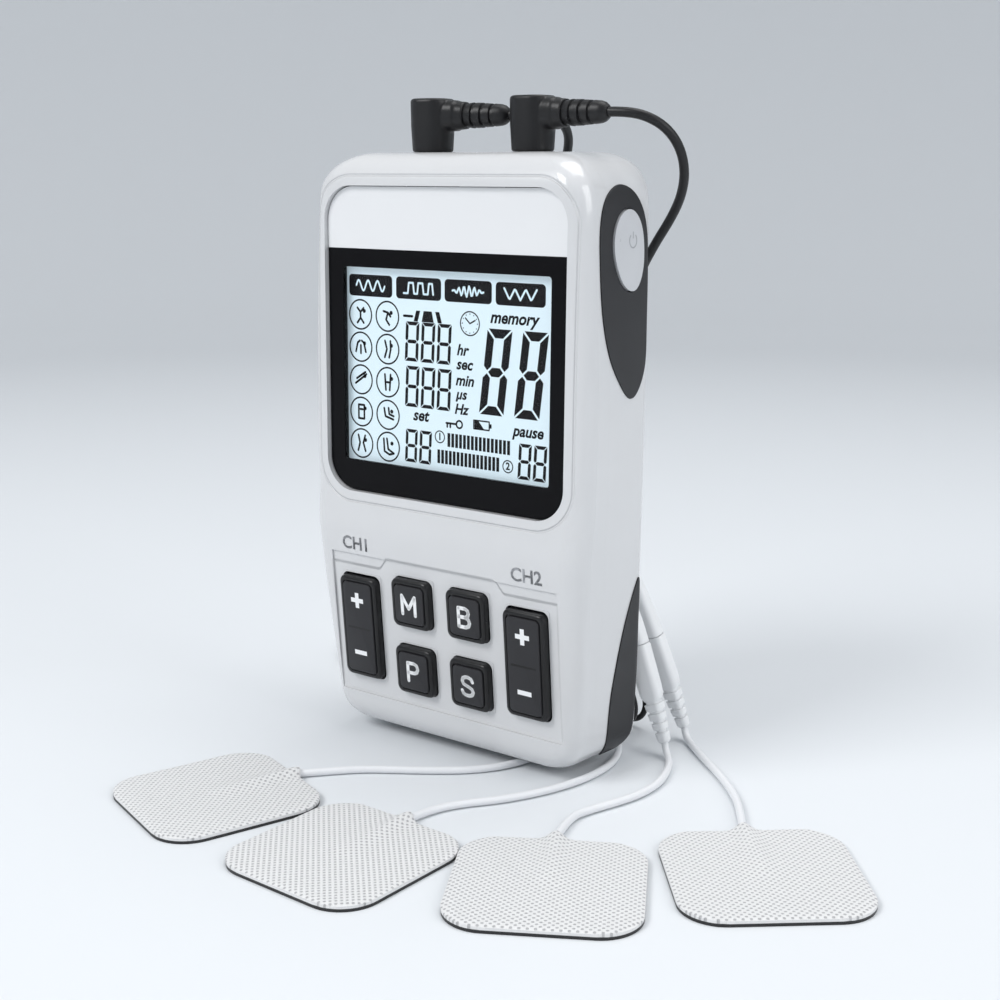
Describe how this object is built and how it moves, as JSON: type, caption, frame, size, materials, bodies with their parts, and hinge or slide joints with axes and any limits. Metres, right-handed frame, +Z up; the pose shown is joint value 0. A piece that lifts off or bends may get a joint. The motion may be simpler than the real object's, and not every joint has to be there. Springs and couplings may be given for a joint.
{
  "type": "nerve stimulator with electrode pads",
  "caption": "Handheld two-channel nerve and muscle stimulator with a display, keys, side power button, output leads and stick-on electrode pads.",
  "frame": {"origin": "middle of the underside of the unit and its four pads, on the table they stand on", "axes": "+X to the unit's right as seen from its front, +Y to its back, +Z up"},
  "size_m": [0.1978, 0.1576, 0.1585],
  "materials": {
    "shell_plastic": "pearl white moulded ABS, glossy",
    "window_acrylic": "acrylic window, printed black and white behind",
    "lcd_glass": "pale blue segment display",
    "light_guide": "diffusing light guide",
    "contact_rubber": "elastomer strip",
    "board_laminate": "green solder mask",
    "chip_plastic": "black moulded",
    "capacitor_sleeve": "shrink sleeve",
    "key_plastic": "charcoal, satin",
    "grip_plastic": "charcoal, fine texture",
    "button_plastic": "light grey, satin",
    "frame_plastic": "moulded inner frame",
    "steel_pins": "nickel plated",
    "cell_can": "plain cell sleeve",
    "plug_rubber": "black moulded PVC",
    "plated_metal": "nickel plated",
    "black_lead": "black PVC jacket",
    "tie_plastic": "flat tie",
    "connector_plastic": "white moulded",
    "white_wire": "white PVC jacket",
    "pad_cloth": "white non-woven cloth, embossed grid",
    "gel": "black conductive film with gel"
  },
  "bodies": {
    "unit": {"battery_cells": "cell_can", "battery_contacts": "steel_pins", "battery_springs": "steel_pins", "battery_tray": "frame_plastic", "board_chips": "chip_plastic", "branch_1": "black_lead", "branch_2": "black_lead", "branch_3": "black_lead", "branch_4": "black_lead", "buzzer": "chip_plastic", "case_screws": "steel_pins", "coil_ch1": "black_lead", "coil_ch2": "black_lead", "coil_ties": "tie_plastic", "contact_pins": "plated_metal", "contact_strips": "contact_rubber", "display_window": "window_acrylic", "filter_capacitors": "capacitor_sleeve", "front_shell": "shell_plastic", "gel_layers": "gel", "grip_lower_left": "grip_plastic", "grip_lower_right": "grip_plastic", "grip_upper_left": "grip_plastic", "grip_upper_right": "grip_plastic", "key_frame": "frame_plastic", "lcd_backlight": "light_guide", "lcd_panel": "lcd_glass", "lead_ch1": "black_lead", "lead_ch2": "black_lead", "lead_splitters": "black_lead", "main_board": "board_laminate", "output_jack_ch1": "chip_plastic", "output_jack_ch2": "chip_plastic", "pad_1": "pad_cloth", "pad_2": "pad_cloth", "pad_3": "pad_cloth", "pad_4": "pad_cloth", "pigtail_1": "white_wire", "pigtail_2": "white_wire", "pigtail_3": "white_wire", "pigtail_4": "white_wire", "pin_housings": "connector_plastic", "plug_ch1": "plug_rubber", "plug_ch2": "plug_rubber", "plug_tips": "plated_metal", "power_switch": "chip_plastic", "pulse_transformers": "chip_plastic", "rear_shell": "shell_plastic", "rocker_pins": "steel_pins", "tact_switches": "chip_plastic", "wire_sockets": "connector_plastic"},
    "key_m": {"key_m": "key_plastic"},
    "key_b": {"key_b": "key_plastic"},
    "key_p": {"key_p": "key_plastic"},
    "key_s": {"key_s": "key_plastic"},
    "rocker_1": {"rocker_ch1": "key_plastic"},
    "rocker_2": {"rocker_ch2": "key_plastic"},
    "power_key": {"power_button": "button_plastic"},
    "door": {"battery_door": "shell_plastic"}
  },
  "joints": [
    {"name": "key_m_press", "type": "slide", "parent": "unit", "child": "key_m", "axis": [0, 0.9969, 0.0785], "range_m": [0, 0.0008], "stiffness_N_per_m": 900},
    {"name": "key_b_press", "type": "slide", "parent": "unit", "child": "key_b", "axis": [0, 0.9969, 0.0785], "range_m": [0, 0.0008], "stiffness_N_per_m": 900},
    {"name": "key_p_press", "type": "slide", "parent": "unit", "child": "key_p", "axis": [0, 0.9969, 0.0785], "range_m": [0, 0.0008], "stiffness_N_per_m": 900},
    {"name": "key_s_press", "type": "slide", "parent": "unit", "child": "key_s", "axis": [0, 0.9969, 0.0785], "range_m": [0, 0.0008], "stiffness_N_per_m": 900},
    {"name": "rocker_1_tilt", "type": "hinge", "parent": "unit", "child": "rocker_1", "pos_m": [-0.05884, 0.02613, 0.02978], "axis": [1, 0, 0], "range_deg": [-3.5, 3.5], "stiffness_Nm_per_rad": 0.4},
    {"name": "rocker_2_tilt", "type": "hinge", "parent": "unit", "child": "rocker_2", "pos_m": [-0.00804, 0.02613, 0.02978], "axis": [1, 0, 0], "range_deg": [-3.5, 3.5], "stiffness_Nm_per_rad": 0.4},
    {"name": "power_press", "type": "slide", "parent": "unit", "child": "power_key", "axis": [-1, 0, 0], "range_m": [0, 0.0008], "stiffness_N_per_m": 900},
    {"name": "door_slide", "type": "slide", "parent": "unit", "child": "door", "axis": [0, 0, -1], "range_m": [0, 0.008]}
  ]
}
